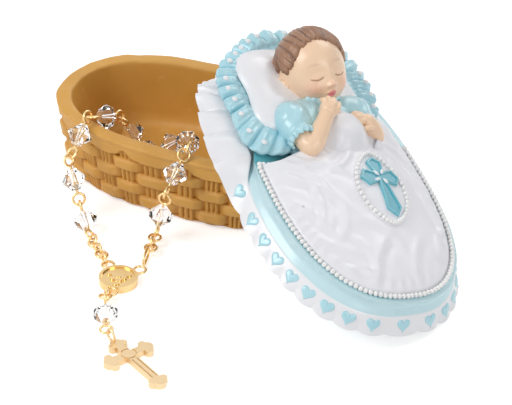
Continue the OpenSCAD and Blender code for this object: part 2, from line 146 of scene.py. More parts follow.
def start_edit(piece):
    clear_selection()
    piece.select_set(True)
    bpy.context.view_layer.objects.active = piece
    bpy.ops.object.mode_set(mode="EDIT")
    bpy.ops.mesh.select_all(action="SELECT")


def close_seam(piece, gap=0.000004):
    start_edit(piece)
    bpy.ops.mesh.remove_doubles(threshold=gap)
    bpy.ops.mesh.dissolve_degenerate(threshold=0.0000005)
    bpy.ops.mesh.select_all(action="SELECT")
    bpy.ops.mesh.normals_make_consistent(inside=False)
    bpy.ops.object.mode_set(mode="OBJECT")


def smooth(piece, angle=60):
    clear_selection()
    piece.select_set(True)
    bpy.context.view_layer.objects.active = piece
    bpy.ops.object.shade_smooth_by_angle(angle=math.radians(angle))
    clear_selection()


def paint_mask(piece, name, rule):
    mask = piece.data.attributes.new(name, "FLOAT", "POINT")
    for i, vertex in enumerate(piece.data.vertices):
        mask.data[i].value = min(1.0, max(0.0, rule(vertex.co / MM)))


def oval(turn, long, wide, power=2.4):
    c, s = math.cos(turn), math.sin(turn)
    return (math.copysign(abs(c) ** (2 / power), c) * long, math.copysign(abs(s) ** (2 / power), s) * wide)


def even(step):
    t = step + math.radians(7) * math.sin(2 * step)
    t = step + math.radians(7) * math.sin(2 * t)
    return step + math.radians(7) * math.sin(2 * t)


def ease(x):
    x = min(1.0, max(0.0, x))
    return x * x * (3 - 2 * x)


def follow(points, k):
    k = min(max(k, 0.0), 1.0) * (len(points) - 1)
    i = min(int(k), len(points) - 2)
    return [a + (b - a) * (k - i) for a, b in zip(points[i], points[i + 1])]


GROUPS = 30
ROW = 3.4
FIRST_ROW = 1.0
CORNER = 2.4
RIM_LONG, RIM_WIDE, RIM_HIGH = 38.5, 22, 19.5
FOOT_SCALE = 0.92
WALL_TOP, WALL_FOOT, FLOOR_TOP = 18.4, 5.2, 2.25
STAKE_SPACING, STAKE_HALF = 0.185, 0.088


def basket_scale(z):
    return FOOT_SCALE + (1 - FOOT_SCALE) * (max(z, 0) / RIM_HIGH) ** 0.8


def recess_side(step, row):
    return ((step / (2 * math.pi) * GROUPS + row) % 2) - 1


def weave(step, z):
    r = (z - FIRST_ROW) / ROW
    row = math.floor(r)
    v = r - row
    side = recess_side(step, row)
    strip = -1.0 + 1.65 * ease((abs(side) - 0.2) / 0.55)
    belly = (1 - abs(2 * v - 1) ** 5) ** 0.5
    strip = -1.05 + (strip + 1.05) * belly
    rod = -9.0
    for centre in (-STAKE_SPACING, 0.0, STAKE_SPACING):
        d = (side - centre) / STAKE_HALF
        if abs(d) < 1:
            rod = max(rod, -0.95 + 0.75 * math.sqrt(1 - d * d))
    return max(strip, rod)


RIM = ((0.25, 17.9), (0.45, 18.5), (0.45, 18.9), (0.30, 19.2), (0.0, 19.36), (-0.8, 19.42), (-1.6, 19.46),
       (-2.4, 19.48), (-2.95, 19.42), (-3.25, 19.15), (-3.4, 18.4))

basket = start_grid("woven_basket", 900, 108)


def basket_place(a, b):
    step = a * 2 * math.pi
    t = even(step)
    around = Vector((math.cos(step) * 3, math.sin(step) * 3, 4))
    lump = noise.noise(around) + 0.5 * noise.noise(around * 2.3)
    if b < 0.03:
        f = b / 0.03
        x, y = oval(t, 37.6 * f, 21.1 * f)
        return Vector((x * FOOT_SCALE, y * FOOT_SCALE, 0)) * MM
    if b < 0.64:
        z = (b - 0.03) / 0.61 * 17.9
        low = ease(z / 1.0)
        g = weave(step, max(z, 0.9)) * low - 0.9 * (1 - low)
        if z < 1:
            g += 0.25 * math.cos(step * GROUPS) * (1 - low)
        g += 0.12 * noise.noise(Vector((t * 9, z * 0.5, 0)))
        under = abs(recess_side(step, 4))
        hem = 14.9 + 1.9 * (1 - ease(under / 0.42)) + 0.25 * lump
        top = ease((z - hem) / 0.45)
        g = g * (1 - top) + top * (0.30 + 0.42 * lump - 0.12 * ease((z - 17) / 1))
        s = basket_scale(z)
        x, y = oval(t, RIM_LONG + g, RIM_WIDE + g)
        z += 0.12 * noise.noise(Vector((t * 5, 0, 3))) * ease(z / 2)
        return Vector((x * s, y * s, max(z, 0.01))) * MM
    if b < 0.77:
        k = (b - 0.64) / 0.13
        g, z = follow(RIM, k)
        out = 1 - ease(k / 0.5)
        g += 0.42 * lump * out + 0.15 * noise.noise(around * 3) * (1 - out)
        z += 0.42 * lump * math.sin(math.pi * k)
        s = basket_scale(z if k < 0.5 else WALL_TOP)
        x, y = oval(t, RIM_LONG + g, RIM_WIDE + g)
        return Vector((x * s, y * s, z)) * MM
    if b < 0.91:
        k = (b - 0.77) / 0.14
        z = WALL_TOP - (WALL_TOP - WALL_FOOT) * k
        g = -3.4 - 0.9 * k + 0.08 * noise.noise(Vector((t * 4, z * 0.2, 7)))
        s = basket_scale(z)
        x, y = oval(t, RIM_LONG + g, RIM_WIDE + g)
        return Vector((x * s, y * s, z)) * MM
    k = (b - 0.91) / 0.09
    s = basket_scale(3)
    if k < 0.55:
        angle = k / 0.55 * math.pi / 2
        g = -4.3 - 3.0 * (1 - math.cos(angle))
        z = WALL_FOOT - (WALL_FOOT - FLOOR_TOP) * math.sin(angle)
        x, y = oval(t, RIM_LONG + g, RIM_WIDE + g)
        return Vector((x * s, y * s, z)) * MM
    f = 1 - (k - 0.55) / 0.45
    x, y = oval(t, 31.2 * f, 14.7 * f)
    return Vector((x * s, y * s, FLOOR_TOP)) * MM


# Painted shade: a mask that grows where the woven wall sits deepest in its recesses, so the tan paint darkens
# there.
def recess_shade_depth(place):
    x, y, z = place
    s = basket_scale(z)
    r = (abs(x / s / RIM_LONG) ** CORNER + abs(y / s / RIM_WIDE) ** CORNER) ** (1 / CORNER)
    return (0.998 - r) * 26 if r > 0.93 and z < 17.4 else 0.0


set_places(basket, basket_place)
close_seam(basket)
smooth(basket, 55)
paint_mask(basket, "recess_shade", recess_shade_depth)


def cast_resin_group():
    group = bpy.data.node_groups.new("cast_resin", "ShaderNodeTree")
    face = group.interface
    face.new_socket("Scale", in_out="INPUT", socket_type="NodeSocketFloat")
    face.new_socket("Depth", in_out="INPUT", socket_type="NodeSocketFloat")
    face.new_socket("Mottle", in_out="OUTPUT", socket_type="NodeSocketFloat")
    face.new_socket("Specks", in_out="OUTPUT", socket_type="NodeSocketFloat")
    face.new_socket("Scuffs", in_out="OUTPUT", socket_type="NodeSocketFloat")
    face.new_socket("Normal", in_out="OUTPUT", socket_type="NodeSocketVector")
    n, l = group.nodes, group.links
    put = n.new("NodeGroupInput")
    out = n.new("NodeGroupOutput")
    place = n.new("ShaderNodeTexCoord")
    cloud = n.new("ShaderNodeTexNoise")
    cloud.inputs["Detail"].default_value = 6
    l.new(place.outputs["Object"], cloud.inputs["Vector"])
    l.new(put.outputs["Scale"], cloud.inputs["Scale"])
    l.new(cloud.outputs["Fac"], out.inputs["Mottle"])
    pits = n.new("ShaderNodeTexVoronoi")
    pits.inputs["Scale"].default_value = 240
    l.new(place.outputs["Object"], pits.inputs["Vector"])
    rare = n.new("ShaderNodeSeparateColor")
    l.new(pits.outputs["Color"], rare.inputs["Color"])
    few = n.new("ShaderNodeMath")
    few.operation = "GREATER_THAN"
    few.inputs[1].default_value = 0.93
    l.new(rare.outputs[0], few.inputs[0])
    near = n.new("ShaderNodeMapRange")
    near.inputs["From Min"].default_value = 0.05
    near.inputs["From Max"].default_value = 0.11
    near.inputs["To Min"].default_value = 1
    near.inputs["To Max"].default_value = 0
    l.new(pits.outputs["Distance"], near.inputs["Value"])
    dots = n.new("ShaderNodeMath")
    dots.operation = "MULTIPLY"
    l.new(few.outputs[0], dots.inputs[0])
    l.new(near.outputs[0], dots.inputs[1])
    l.new(dots.outputs[0], out.inputs["Specks"])
    rub = n.new("ShaderNodeTexNoise")
    rub.inputs["Scale"].default_value = 150
    rub.inputs["Detail"].default_value = 8
    rub.inputs["Roughness"].default_value = 0.7
    l.new(place.outputs["Object"], rub.inputs["Vector"])
    worn = n.new("ShaderNodeMapRange")
    worn.inputs["From Min"].default_value = 0.6
    worn.inputs["From Max"].default_value = 0.72
    l.new(rub.outputs["Fac"], worn.inputs["Value"])
    l.new(worn.outputs[0], out.inputs["Scuffs"])
    fine = n.new("ShaderNodeTexNoise")
    fine.inputs["Scale"].default_value = 900
    fine.inputs["Detail"].default_value = 4
    l.new(place.outputs["Object"], fine.inputs["Vector"])
    bump = n.new("ShaderNodeBump")
    bump.inputs["Distance"].default_value = 0.0002
    l.new(put.outputs["Depth"], bump.inputs["Strength"])
    l.new(fine.outputs["Fac"], bump.inputs["Height"])
    l.new(bump.outputs["Normal"], out.inputs["Normal"])
    return group


cast_resin = cast_resin_group()


def resin(name, light, dark, rough, coat=0.0, scale=60, depth=0.15, specks=None, scuffs=None, washes=()):
    finish = bpy.data.materials.new(name)
    finish.use_nodes = True
    n, l = finish.node_tree.nodes, finish.node_tree.links
    body = n["Principled BSDF"]
    body.inputs["Coat Weight"].default_value = coat
    body.inputs["Coat Roughness"].default_value = 0.12
    cast = n.new("ShaderNodeGroup")
    cast.node_tree = cast_resin
    cast.inputs["Scale"].default_value = scale
    cast.inputs["Depth"].default_value = depth
    tone = n.new("ShaderNodeMix")
    tone.data_type = "RGBA"
    tone.inputs["A"].default_value = (*dark, 1)
    tone.inputs["B"].default_value = (*light, 1)
    spread = n.new("ShaderNodeMapRange")
    spread.inputs["From Min"].default_value = 0.35
    spread.inputs["From Max"].default_value = 0.6
    l.new(cast.outputs["Mottle"], spread.inputs["Value"])
    l.new(spread.outputs[0], tone.inputs["Factor"])
    last = tone.outputs["Result"]

    def lay(factor, color):
        over = n.new("ShaderNodeMix")
        over.data_type = "RGBA"
        over.inputs["B"].default_value = (*color, 1)
        l.new(factor, over.inputs["Factor"])
        l.new(last, over.inputs["A"])
        return over.outputs["Result"]

    for mask, color in washes:
        read = n.new("ShaderNodeAttribute")
        read.attribute_name = mask
        last = lay(read.outputs["Fac"], color)
    if scuffs:
        last = lay(cast.outputs["Scuffs"], scuffs)
    if specks:
        last = lay(cast.outputs["Specks"], specks)
    l.new(last, body.inputs["Base Color"])
    gloss = n.new("ShaderNodeMapRange")
    gloss.inputs["To Min"].default_value = rough - 0.06
    gloss.inputs["To Max"].default_value = rough + 0.06
    l.new(cast.outputs["Mottle"], gloss.inputs["Value"])
    l.new(gloss.outputs[0], body.inputs["Roughness"])
    l.new(cast.outputs["Normal"], body.inputs["Normal"])
    return finish


# The weave's recesses take a darker brown wash as painted shade.
basket.data.materials.append(resin(
    "tan_resin", (0.71, 0.375, 0.080), (0.64, 0.32, 0.055), 0.5,
    specks=(0.16, 0.07, 0.02), scuffs=(0.78, 0.47, 0.18), washes=(("recess_shade", (0.47, 0.195, 0.02)),)))
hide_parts("basket")
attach(basket, "basket")

# The lid's base: a thick blue band, slightly hollowed round its side, cast
# in one with the flat seat that closes on the basket's rim. The seam under
# the quilt's edge is painted in a deeper teal.
def lid_matrix():
    place = Matrix.Translation(Vector((41.9, -19.3, 18.1)) * MM)
    place = place @ Matrix.Rotation(math.radians(-40), 4, "Z")
    place = place @ Matrix.Rotation(math.radians(20), 4, "Y")
    place = place @ Matrix.Rotation(math.radians(-17), 4, "X")
    return place @ Matrix.Translation(Vector((0, 0, 4)) * MM)


on_lid = lid_matrix()
off_lid = on_lid.inverted()
LONG, WIDE = 40.5, 24.2
EGG = 0.1
BAND = 4.2


def lid_edge(t, grow):
    x, y = oval(t, LONG + grow, WIDE + grow)
    return x, y * (1 + EGG * x / LONG)


def seat_on_lid(x, y, z):
    return on_lid @ (Vector((x, y, z)) * MM)


def bell(t, at, width):
    d = ((math.degrees(t) - at + 180) % 360 - 180) / width
    return math.exp(-d * d)


band = start_grid("blue_band", 360, 34)


def band_place(a, b):
    t = even(a * 2 * math.pi)
    dent = 3.0 * bell(t, 256, 10)
    if b < 0.12:
        f = b / 0.12
        x, y = lid_edge(t, 1.1 - dent)
        return seat_on_lid(x * f, y * f, 0)
    if b < 0.86:
        k = (b - 0.12) / 0.74
        z = 0.02 + (BAND - 0.02) * ease(k / 0.9) if k < 0.9 else BAND
        g = 1.15 * (1 - ease((z - 0.2) / 2.2)) - 0.25 * math.sin(math.pi * min(1, k / 0.85)) ** 1.6
        g -= 2.2 * max(0, (k - 0.8) / 0.2) ** 1.3
        g += 0.18 * noise.noise(Vector((math.cos(t) * 4, math.sin(t) * 4, z * 0.3)))
        x, y = lid_edge(t, g - dent)
        return seat_on_lid(x, y, z)
    f = 1 - (b - 0.86) / 0.14
    x, y = lid_edge(t, -2.8 - dent)
    return seat_on_lid(x * f, y * f, BAND)


def oval_grow(x, y):
    low, high = -20.0, 12.0
    for _ in range(22):
        g = (low + high) / 2
        wide = (WIDE + g) * (1 + EGG * x / LONG)
        if abs(x / (LONG + g)) ** CORNER + abs(y / wide) ** CORNER > 1:
            low = g
        else:
            high = g
    return low


def seam_paint(place):
    x, y, z = off_lid @ (place * MM) / MM
    return (-0.95 - oval_grow(x, y)) * 3 if z > BAND - 0.25 else 0.0


set_places(band, band_place)
close_seam(band)
smooth(band, 60)
paint_mask(band, "seam", seam_paint)
blue = resin("blue_resin", (0.47, 0.74, 0.81), (0.41, 0.69, 0.77), 0.27, coat=0.35, scale=25, depth=0.05,
             scuffs=(0.58, 0.80, 0.85))
blue_band = resin("blue_band_resin", (0.57, 0.78, 0.83), (0.51, 0.74, 0.80), 0.27, coat=0.35, scale=25,
                  depth=0.05, washes=(("seam", (0.14, 0.50, 0.56)),))
band.data.materials.append(blue_band)
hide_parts("lid_base")
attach(band, "lid")

# The white frill under the band: a thin scalloped skirt that flares over the
# basket's rim. Beside the pillow it widens into a loose ruffle with deep
# folds that covers the band. Cast in one with the lid.
SCALLOPS = 36


def ruffle(t):
    degrees = math.degrees(t) % 360
    return ease((degrees - 210) / 30) * ease((272 - degrees) / 10)


def lobe_of(step):
    return abs(math.cos(step * SCALLOPS / 2))


def ruffle_lobe(step):
    return abs(math.cos(step * 19 + 0.8 * math.sin(step * 5) + 0.5))


def skirt(step, k):
    t = even(step)
    w = ruffle(t)
    lobe, fold = lobe_of(step) ** 0.6, ruffle_lobe(step) ** 0.75
    narrow = 1.2 + 2.3 * k ** 0.95 + 0.8 * (lobe - 0.6) * ease((k - 0.35) / 0.65)
    drop = 0.25 - 4.1 * k - 0.4 * (lobe - 0.65) * ease((k - 0.5) / 0.5)
    wide = -1.2 + 9.6 * k ** 0.9 + 2.3 * (fold - 0.6) * ease((k - 0.3) / 0.7)
    sweep = 4.6 - 0.5 * k - 3.4 * k * k + 2.6 * (fold - 0.55) * (0.1 + 0.9 * k)
    sweep += 0.1 * math.sin(step * 61) * k
    x, y = lid_edge(t, narrow + (wide - narrow) * w)
    return Vector((x, y, drop + (sweep - drop) * w))


frill = start_grid("white_frill", 900, 44)


def frill_place(a, b):
    step = a * 2 * math.pi
    t = even(step)
    if b < 0.06:
        x, y = lid_edge(t, 0.03)
        return seat_on_lid(x, y, -0.02 + 0.6 * b / 0.06)
    if b < 0.12:
        k = (b - 0.06) / 0.06
        x, y = lid_edge(t, 0.03)
        start = Vector((x, y, 0.58))
        curl = Vector((0, 0, 0.12 * math.sin(math.pi * k)))
        return seat_on_lid(*(start + (skirt(step, 0) - start) * k + curl))
    if b < 0.66:
        return seat_on_lid(*skirt(step, (b - 0.12) / 0.54))
    outer = skirt(step, 1)
    under = skirt(step, 0.86) - Vector((0, 0, 0.55))
    if b < 0.74:
        k = (b - 0.66) / 0.08
        lip = outer + (under - outer) * k
        return seat_on_lid(lip.x, lip.y, lip.z - 0.1 * math.sin(math.pi * k))
    k = (b - 0.74) / 0.26
    near_x, near_y = oval(t, RIM_LONG + 0.7, RIM_WIDE + 0.7)
    root = Vector((near_x, near_y, -1.3))
    if k < 0.85:
        return seat_on_lid(*(under + (root - under) * ease(k / 0.85)))
    return seat_on_lid(near_x, near_y, -1.3 + 1.28 * (k - 0.85) / 0.15)


set_places(frill, frill_place)
close_seam(frill)
start_edit(frill)
bpy.ops.mesh.select_all(action="DESELECT")
bpy.ops.mesh.select_non_manifold()
bpy.ops.mesh.bridge_edge_loops()
bpy.ops.mesh.select_all(action="SELECT")
bpy.ops.mesh.normals_make_consistent(inside=False)
bpy.ops.object.mode_set(mode="OBJECT")
smooth(frill, 60)
white = resin("white_resin", (0.86, 0.86, 0.885), (0.83, 0.83, 0.86), 0.36, coat=0.25, scale=30, depth=0.08,
              specks=(0.62, 0.55, 0.53))
frill.data.materials.append(white)
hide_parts("lid_frill")
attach(frill, "lid")

# The hearts: small raised blue hearts with softly rounded faces, one on each
# scallop apart from the ruffle, cast with the frill and painted.
HEART_SIZE = 0.115
RUFFLE_SCALLOPS = range(19, 27)


def join_up(pieces, name):
    clear_selection()
    for piece in pieces:
        piece.select_set(True)
    bpy.context.view_layer.objects.active = pieces[0]
    bpy.ops.object.join()
    pieces[0].name = name
    return pieces[0]


heart = start_grid("frill_heart", 40, 9)


def heart_place(a, b):
    s = a * 2 * math.pi
    across = 16 * math.sin(s) ** 3
    along = 13 * math.cos(s) - 5 * math.cos(2 * s) - 2 * math.cos(3 * s) - math.cos(4 * s) + 2.5
    edge = Vector((across, along, 0)) * HEART_SIZE
    size, z = follow(((0, -0.25), (1, -0.25), (1, 0.05), (1, 0.12), (0.94, 0.22), (0.8, 0.30), (0.55, 0.36),
                      (0.25, 0.38), (0, 0.38)), b)
    return Vector((edge.x * size, edge.y * size, z))


set_places(heart, heart_place)
start_edit(heart)
bpy.ops.mesh.remove_doubles(threshold=0.0005)
bpy.ops.mesh.normals_make_consistent(inside=False)
bpy.ops.object.mode_set(mode="OBJECT")
hearts = []
for k in range(SCALLOPS):
    if k in RUFFLE_SCALLOPS:
        continue
    step = 2 * math.pi * k / SCALLOPS
    centre = skirt(step, 0.5)
    along = (skirt(step + 0.01, 0.5) - skirt(step - 0.01, 0.5)).normalized()
    down = (skirt(step, 0.6) - skirt(step, 0.4)).normalized()
    face = along.cross(down)
    if face.z < 0:
        face = -face
    side = (-down).cross(face).normalized()
    seat = Matrix((side, -down, face)).transposed().to_4x4()
    copy = heart.copy()
    copy.data = heart.data.copy()
    bpy.context.scene.collection.objects.link(copy)
    copy.data.transform(on_lid @ Matrix.Scale(MM, 4) @ Matrix.Translation(centre) @ seat)
    hearts.append(copy)
bpy.data.objects.remove(heart)
hearts = join_up(hearts, "frill_heart_set")
smooth(hearts, 50)
hearts.data.materials.append(resin(
    "heart_paint", (0.46, 0.74, 0.82), (0.40, 0.69, 0.78), 0.25, coat=0.4, scale=120, depth=0.05))
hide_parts("frill_hearts")
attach(hearts, "lid")

# The pillow's blue frill: a gathered ring of small deep pleats round the
# pillow, longer at the corner beside the elbow, with raised white dots on
# the pleats. Cast in one with the lid and painted, with painted shade in the
# hollows between the pleats.
PLEATS = 32
PILLOW_AT = (-24.6, -1.8)
PILLOW_ROUND = 1.12
DOT = 0.78


def pillow_reach(t):
    return 6.3 * bell(t, 312, 18.5) - 2.2 * bell(t, 219, 30) + 2 * bell(t, 122, 15)


def pillow_point(t, fx, fy, z, k):
    far = k * pillow_reach(t)
    return Vector((PILLOW_AT[0] + (fx + far) * math.cos(t), PILLOW_AT[1] + (fy + far) * math.sin(t), z))


def pillow_turn(x, y):
    return math.atan2((y - PILLOW_AT[1]) / PILLOW_ROUND, x - PILLOW_AT[0])


PLEAT_RINGS = (
    (0, 2.6, 4.22, 0, 0), (14.5, 17, 4.22, 0, 0), (15.2, 17.8, 4.7, 0.1, 0.3),
    (18.2, 20.4, 5.0, 0.5, 0.9), (19.6, 21.8, 5.4, 0.9, 1), (20.0, 22.2, 6.0, 1, 1),
    (19.8, 22.0, 6.5, 1, 1), (19.0, 21.2, 6.95, 1, 1), (18.2, 20.4, 7.3, 0.95, 0.95),
    (17.2, 19.5, 7.6, 0.8, 0.85), (16.2, 18.6, 7.8, 0.6, 0.7), (15.2, 17.6, 7.7, 0.35, 0.5),
    (14.2, 16.6, 7.2, 0.1, 0.3), (0, 2.6, 7.2, 0, 0))


def pleat_lobe(t):
    return abs(math.cos(t * PLEATS / 2 + 0.35 * math.sin(3 * t) + 0.25 * math.sin(7 * t)))


def frill_top(t, k):
    fx, fy, z, wave, far = follow(PLEAT_RINGS, k)
    lobe = pleat_lobe(t) ** 0.65
    out = 1.05 * wave * (lobe - 0.6)
    lift = 1.2 * wave * (lobe - 0.55) if z > 5.8 else 0.35 * wave * (lobe - 0.55)
    lift += wave * 0.2 * math.sin(t * 70 + 2 * math.sin(5 * t))
    return pillow_point(t, fx + out, fy + out, z + lift, far)


# Painted shade: a mask on the frill's top that grows in the hollows between the pleats.
def pleat_shade_paint(place):
    x, y, z = off_lid @ (place * MM) / MM
    return 1 - pleat_lobe(pillow_turn(x, y)) * 2.6 if z > 5.2 else 0.0


pillow_frill = start_grid("pillow_frill_ring", 640, 65)
set_places(pillow_frill, lambda a, b: seat_on_lid(*frill_top(a * 2 * math.pi, b)))
close_seam(pillow_frill)
smooth(pillow_frill, 70)
paint_mask(pillow_frill, "pleat_shade", pleat_shade_paint)
# The pleat hollows take a deeper blue as painted shade.
pillow_frill.data.materials.append(resin(
    "pleated_blue", (0.44, 0.72, 0.80), (0.38, 0.67, 0.76), 0.25, coat=0.4, scale=60, depth=0.06,
    scuffs=(0.52, 0.75, 0.81), washes=(("pleat_shade", (0.30, 0.60, 0.69)),)))
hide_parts("pillow_frill")
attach(pillow_frill, "lid")


def pearl_row(name, places, radius, flat=1.0):
    pearls = []
    lean = on_lid.to_3x3().to_4x4()
    for place in places:
        clear_selection()
        bpy.ops.mesh.primitive_uv_sphere_add(
            segments=10, ring_count=7, radius=radius * MM, location=(0, 0, 0))
        pearl = bpy.context.object
        pearl.data.transform(Matrix.Translation(place) @ lean @ Matrix.Diagonal((1, 1, flat, 1)))
        pearls.append(pearl)
    row = join_up(pearls, name)
    smooth(row, 180)
    return row


dot_places = []
for k in range(PLEATS * 2):
    t = 2 * math.pi * (k + 0.5) / PLEATS / 2
    if pleat_lobe(t) < max(pleat_lobe(t - 0.09), pleat_lobe(t + 0.09)):
        continue
    if not 40 < math.degrees(t) < 322:
        continue
    crest = max((t + d * 0.012 for d in range(-6, 7)), key=pleat_lobe)
    dot_places.append(seat_on_lid(*(frill_top(crest, 0.64) + Vector((0, 0, 0.02)))))
dots = pearl_row("pillow_frill_dots", dot_places, DOT, 0.5)
dots.data.materials.append(white)
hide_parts("pillow_dots")
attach(dots, "lid")

# The pillow: a plump white square with rounded corners, pressed in where the
# head lies, with soft gathers that run from its corners towards the neck.
HEAD = Vector((-25.2, -0.2, 13.0))


def pillow_height(x, y, rim):
    z = 7.4 + 3.9 * (1 - rim ** 3.2) ** 0.6
    d = math.hypot((x - HEAD.x) / 11.5, (y - HEAD.y) / 10)
    z -= 1.3 * math.exp(-d * d)
    turn = math.atan2(y - HEAD.y, x - HEAD.x)
    gathers = math.sin(turn * 9 + 2 * math.sin(turn * 2)) * math.exp(-((d - 1.25) / 0.35) ** 2)
    z += 0.28 * gathers * (1 - rim ** 4)
    return z + 0.12 * noise.noise(Vector((x * 0.4, y * 0.4, 2))) * (1 - rim)


pillow = start_grid("pillow_cushion", 260, 60)


def pillow_place(a, b):
    t = a * 2 * math.pi
    if b < 0.08:
        f = b / 0.08
        p = pillow_point(t, 13.2 * f, 16 * f, 7.3, 0.15 * f)
        return seat_on_lid(*p)
    rim = 1 - (b - 0.08) / 0.92
    rim = 1 - (1 - rim) ** 1.3
    square = (1 - 0.09 * math.cos(4 * t)) * (1 + 0.09 * bell(t, 312, 20))
    p = pillow_point(t, 14 * square * rim, 17 * square * rim, 0, 0.12 * rim)
    return seat_on_lid(p.x, p.y, pillow_height(p.x, p.y, rim))


set_places(pillow, pillow_place)
close_seam(pillow)
smooth(pillow, 80)
pillow.data.materials.append(white)
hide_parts("pillow")
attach(pillow, "lid")

# The quilt: a padded white cover over the baby's body, domed, drawn up over
# the chest to the hands, with drag folds that run in from its edge.
def chest_rise(x, y):
    d = math.hypot((x + 8.0) / 8.4, (y - 1.4) / 9.6)
    return 13.6 * math.exp(-d ** 4)


def quilt_top(x, y):
    s = y / (1 + EGG * x / LONG)
    r = (abs(x / (LONG - 2)) ** CORNER + abs(s / (WIDE - 2)) ** CORNER) ** (1 / CORNER)
    q = min(1.0, r)
    body = math.exp(-((x - 2) / 20) ** 2 - ((y - 1) / 11) ** 2)
    base = BAND + 0.5 + 5.6 * (1 - q ** 2.6) ** 0.7 * (0.75 + 0.3 * body)
    chest = chest_rise(x, y)
    h = max(0.0, 1 - abs(base - chest) / 2.4)
    return max(base, chest) + 0.6 * h * h


def crease(x, y, x0, y0, x1, y1, width, depth):
    ax, ay = x1 - x0, y1 - y0
    length = math.hypot(ax, ay)
    k = ((x - x0) * ax + (y - y0) * ay) / length / length
    if k < -0.1 or k > 1.1:
        return 0.0
    bow = 1.6 * math.sin(math.pi * min(1, max(0, k)))
    d = ((x - x0) * ay - (y - y0) * ax) / length + bow
    fade = ease((k + 0.1) / 0.35) * ease((1.1 - k) / 0.5)
    return depth * fade * (math.exp(-(d / width) ** 2) - 0.7 * math.exp(-((d - 1.6 * width) / width) ** 2))


CREASES = (
    (2, -20, 16, -6, 1.2, 0.55), (-1, -17, 10, -10, 1.0, 0.5), (8, -22, 26, -12, 1.3, 0.45),
    (20, -21, 33, -8, 1.2, 0.4), (30, -18, 36, -2, 1.2, 0.35), (36, -8, 22, 2, 1.3, 0.4),
    (37, 4, 24, 10, 1.3, 0.4), (30, 14, 20, 20, 1.1, 0.4), (-5, 9, 0, 19, 1.0, 0.5),
    (-2, 1, 4, -11, 1.0, 0.5), (-4, 12, 14, 18, 1.0, 0.55), (0, -14, 6, -2, 1.1, 0.5),
    (14, 17, 28, 17, 1.0, 0.4), (12, -8, 24, -14, 1.2, 0.35), (-7, 9, 3, 13, 0.9, 0.45),
    (18, -4, 30, 4, 1.3, 0.35), (22, -10, 34, -6, 1.1, 0.3), (4, -13, 20, -17, 1.0, 0.35))
QUILT_MIDDLE = (9.0, 1.0)
CHEST = (-7.6, 1.4)
STEPS_ROUND = 720


def quilt_inside(x, y):
    s = y / (1 + EGG * x / LONG)
    if abs(x / (LONG - 1.7)) ** CORNER + abs(s / (WIDE - 1.7)) ** CORNER > 1:
        return False
    if math.hypot((x - CHEST[0]) / 7.6, (y - CHEST[1]) / 9.2) < 1:
        return True
    t = pillow_turn(x, y)
    far = 3.2 * bell(t, 322, 14)
    edge = pillow_point(t, 19.6 + far, 21.8 + far, 0, 1)
    reach = math.hypot(edge.x - PILLOW_AT[0], edge.y - PILLOW_AT[1])
    return math.hypot(x - PILLOW_AT[0], y - PILLOW_AT[1]) > reach + 0.2


def quilt_point(angle, reach):
    return QUILT_MIDDLE[0] + reach * math.cos(angle), QUILT_MIDDLE[1] + reach * math.sin(angle)


quilt_reach = []
for i in range(STEPS_ROUND):
    angle = 2 * math.pi * i / STEPS_ROUND
    s = 2.0
    while s < 60 and quilt_inside(*quilt_point(angle, s)):
        s += 0.1
    quilt_reach.append(s)
for _ in range(3):
    quilt_reach = [
        (quilt_reach[i - 1] + quilt_reach[i] * 2 + quilt_reach[(i + 1) % STEPS_ROUND]) / 4
        for i in range(STEPS_ROUND)]


def quilt_limit(angle):
    k = (angle / (2 * math.pi) % 1) * STEPS_ROUND
    i = int(k) % STEPS_ROUND
    return quilt_reach[i] + (quilt_reach[(i + 1) % STEPS_ROUND] - quilt_reach[i]) * (k - int(k))


def quilt_surface(x, y, inward):
    z = quilt_top(x, y)
    calm = ease(inward / 3)
    for fold in CREASES:
        z += crease(x, y, *fold) * calm
    z += 0.14 * noise.noise(Vector((x * 0.25, y * 0.25, 1))) * calm
    turn = math.atan2(y - QUILT_MIDDLE[1], x - QUILT_MIDDLE[0])
    z += 0.16 * math.sin(turn * 44 + 3 * math.sin(turn * 6)) * math.exp(-((inward - 2.4) / 1.4) ** 2)
    roll = 1 - ease(inward / 1.1)
    return z - 1.1 * roll


quilt = start_grid("quilt_cover", 400, 110)


def quilt_place(a, b):
    angle = a * 2 * math.pi
    limit = quilt_limit(angle)
    if b < 0.06:
        return seat_on_lid(*quilt_point(angle, b / 0.06 * (limit - 0.2)), BAND + 0.01)
    k = (b - 0.06) / 0.94
    f = (1 - k ** 1.25) * limit
    x, y = quilt_point(angle, f)
    return seat_on_lid(x, y, max(BAND + 0.02, quilt_surface(x, y, limit - f)))


set_places(quilt, quilt_place)
close_seam(quilt)
smooth(quilt, 70)
quilt_white = resin("quilt_white", (0.85, 0.85, 0.885), (0.815, 0.815, 0.86), 0.42, coat=0.15, scale=45,
                    depth=0.12, specks=(0.62, 0.58, 0.6))
quilt.data.materials.append(quilt_white)
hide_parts("quilt")
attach(quilt, "lid")

# Pearls: round white beads cast in a row along the quilt's edge, and a pointed
# ring of them round the cross. Each is a small sphere sunk a little in its bed.
PEARL_STEP, EDGE_PEARL, RING_PEARL = 1.28, 0.64, 0.62
RING_PEARLS = 44
pearl_white = resin("pearl_white", (0.88, 0.875, 0.87), (0.84, 0.835, 0.83), 0.22, coat=0.5, scale=200,
                    depth=0.03)
edge_places = []
angle = 0.0
while angle < 2 * math.pi - 0.02:
    limit = quilt_limit(angle)
    x, y = quilt_point(angle, limit + 0.25)
    ahead = quilt_limit(angle + 0.01)
    pace = math.hypot(ahead - limit, limit * 0.01) / 0.01
    angle += PEARL_STEP / pace
    if math.hypot((x - CHEST[0]) / 9, (y - CHEST[1]) / 10.6) < 1 or x < -7:
        continue
    edge_places.append(seat_on_lid(x, y, BAND + 0.62 + 0.05 * math.sin(angle * 37)))
edge_pearls = pearl_row("edge_pearls", edge_places, EDGE_PEARL)
edge_pearls.data.materials.append(pearl_white)
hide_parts("pearl_trim")
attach(edge_pearls, "lid")

